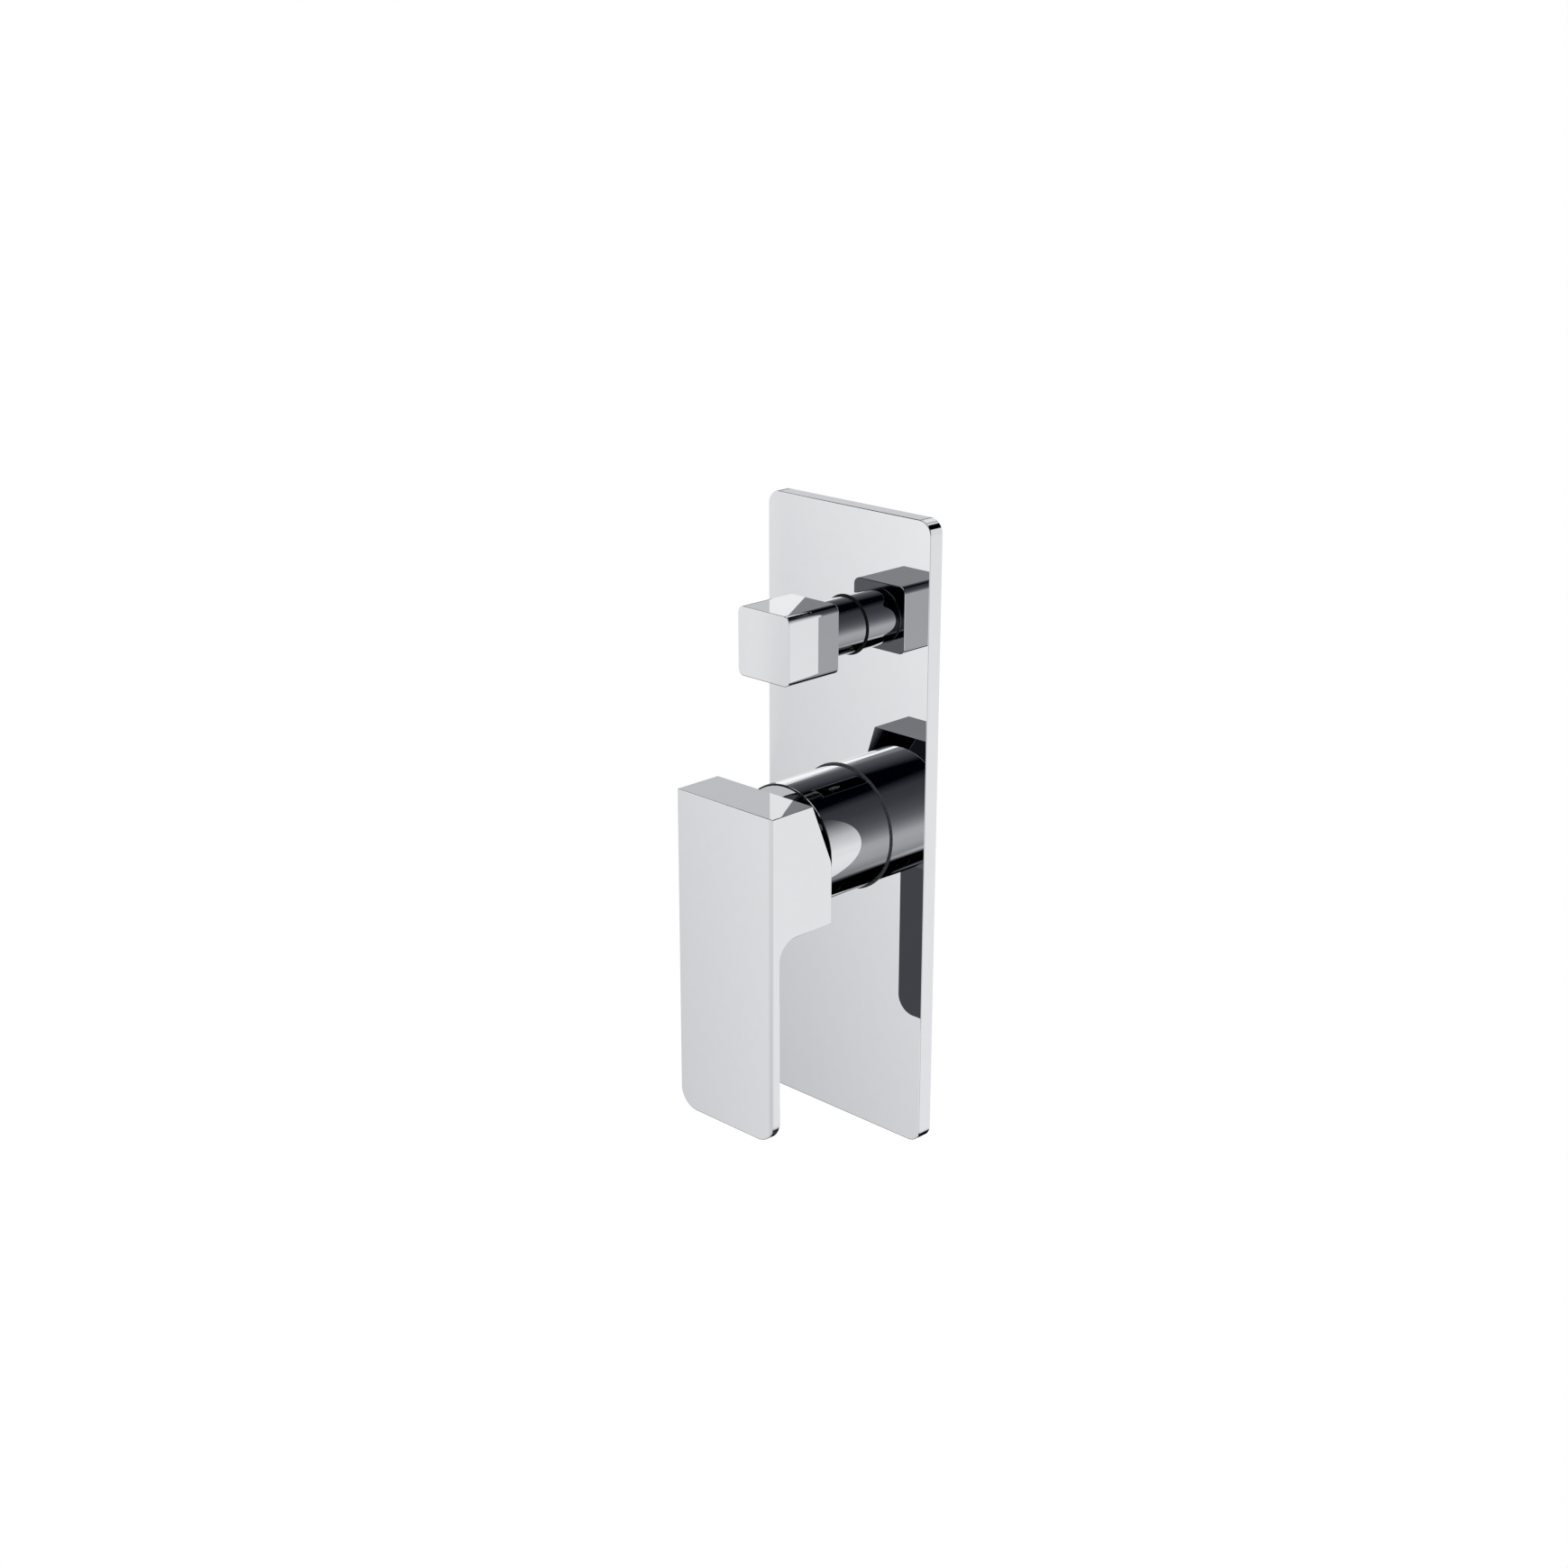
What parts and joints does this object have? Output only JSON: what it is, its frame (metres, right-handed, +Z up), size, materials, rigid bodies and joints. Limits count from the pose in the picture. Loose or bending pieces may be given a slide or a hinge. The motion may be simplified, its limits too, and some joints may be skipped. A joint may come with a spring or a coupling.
{
  "type": "shower diverter valve",
  "caption": "Concealed bath and shower mixer: chrome face plate, slab lever on a round sleeve, square diverter knob above, brass body behind the wall with hot, cold, shower and bath ports.",
  "frame": {"origin": "on the mixing cartridge's axis, in the plane of the finished wall", "axes": "+Z up, +X to the right of a person who faces the wall, +Y into the wall, so the lever and knob stand out along -Y"},
  "size_m": [0.102, 0.1187, 0.2256],
  "materials": {
    "chrome_plate": "polished",
    "chrome_trim": "polished",
    "cast_brass": "matte",
    "turned_brass": "satin",
    "steel": "satin",
    "seal_rubber": "matte",
    "foam": "matte",
    "housing_plastic": "satin",
    "base_plastic": "satin",
    "carrier_plastic": "satin",
    "plug_plastic": "gloss",
    "disc_ceramic": "polished"
  },
  "bodies": {
    "valve": {"face_plate": "chrome_plate", "plate_gasket": "foam", "mixer_seal_ring": "seal_rubber", "diverter_seal_ring": "seal_rubber", "mixer_sleeve": "chrome_trim", "sleeve_orings": "seal_rubber", "diverter_sleeve": "chrome_trim", "stem_oring": "seal_rubber", "cartridge_housing": "housing_plastic", "cartridge_base": "base_plastic", "cartridge_port_seals": "seal_rubber", "fixed_disc": "disc_ceramic", "clamp_washer": "base_plastic", "retaining_nut": "turned_brass", "diverter_headpart": "turned_brass", "headpart_oring": "seal_rubber", "diverter_fixed_disc": "disc_ceramic", "diverter_disc_seal": "seal_rubber", "valve_body": "cast_brass"},
    "rotor": {"cartridge_rotor": "carrier_plastic", "lever_pin": "steel"},
    "lever": {"lever_handle": "chrome_trim", "lever_spindle": "turned_brass", "lever_set_screw": "steel", "lever_plug": "plug_plastic"},
    "disc_slider": {"disc_carrier": "carrier_plastic", "moving_disc": "disc_ceramic"},
    "diverter": {"diverter_knob": "chrome_trim", "diverter_spindle": "turned_brass", "spindle_orings": "seal_rubber", "spindle_clip": "steel", "knob_set_screw": "steel", "knob_plug": "plug_plastic", "diverter_moving_disc": "disc_ceramic"}
  },
  "joints": [
    {"name": "temperature_turn", "type": "hinge", "parent": "valve", "child": "rotor", "pos_m": [0, 0, 0], "axis": [0, 1, 0], "range_deg": [-45, 45]},
    {"name": "lever_lift", "type": "hinge", "parent": "rotor", "child": "lever", "pos_m": [0, -0.0227, 0], "axis": [-1, 0, 0], "range_deg": [0, 16]},
    {"name": "disc_slide", "type": "slide", "parent": "rotor", "child": "disc_slider", "axis": [0, 0, -1], "range_m": [0, 0.0031]},
    {"name": "diverter_turn", "type": "hinge", "parent": "valve", "child": "diverter", "pos_m": [0, 0, 0.073], "axis": [0, 1, 0], "range_deg": [0, 90]}
  ],
  "couplings": [
    {"joint": "disc_slide", "follows": "lever_lift", "m_per_rad": 0.011}
  ]
}
